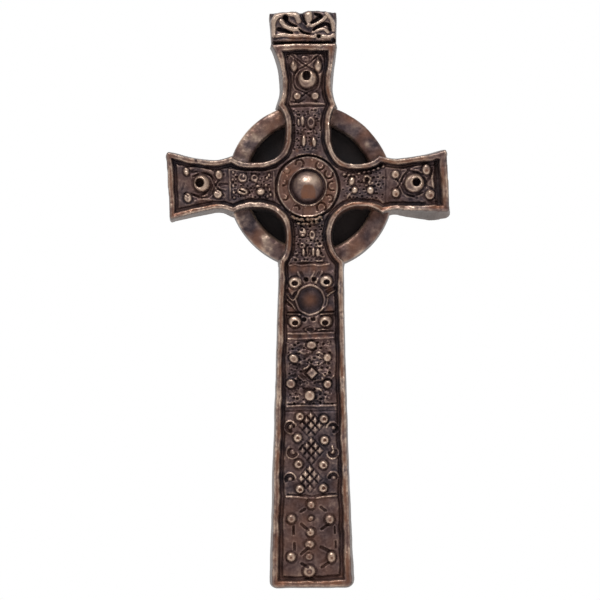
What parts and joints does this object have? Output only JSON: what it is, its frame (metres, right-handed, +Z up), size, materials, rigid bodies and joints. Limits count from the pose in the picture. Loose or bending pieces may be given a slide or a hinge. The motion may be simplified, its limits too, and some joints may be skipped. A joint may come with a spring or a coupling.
{
  "type": "wall cross",
  "caption": "Ringed high cross in low relief, cast in one piece with a flat back, to hang on a wall from a nail.",
  "frame": {"origin": "mouth of the blind nail hole in the flat back, behind the centre of the boss", "axes": "+Z up the shaft, +X to the right as seen from the front, +Y out of the flat back into the wall"},
  "size_m": [0.1134, 0.0146, 0.2299],
  "materials": {
    "patinated_bronze": "cold-cast bronze: dark brown patina left in the recesses, rubbed back to dull bronze on rims and studs"
  },
  "bodies": {
    "root": {"cross": "patinated_bronze"}
  },
  "joints": []
}
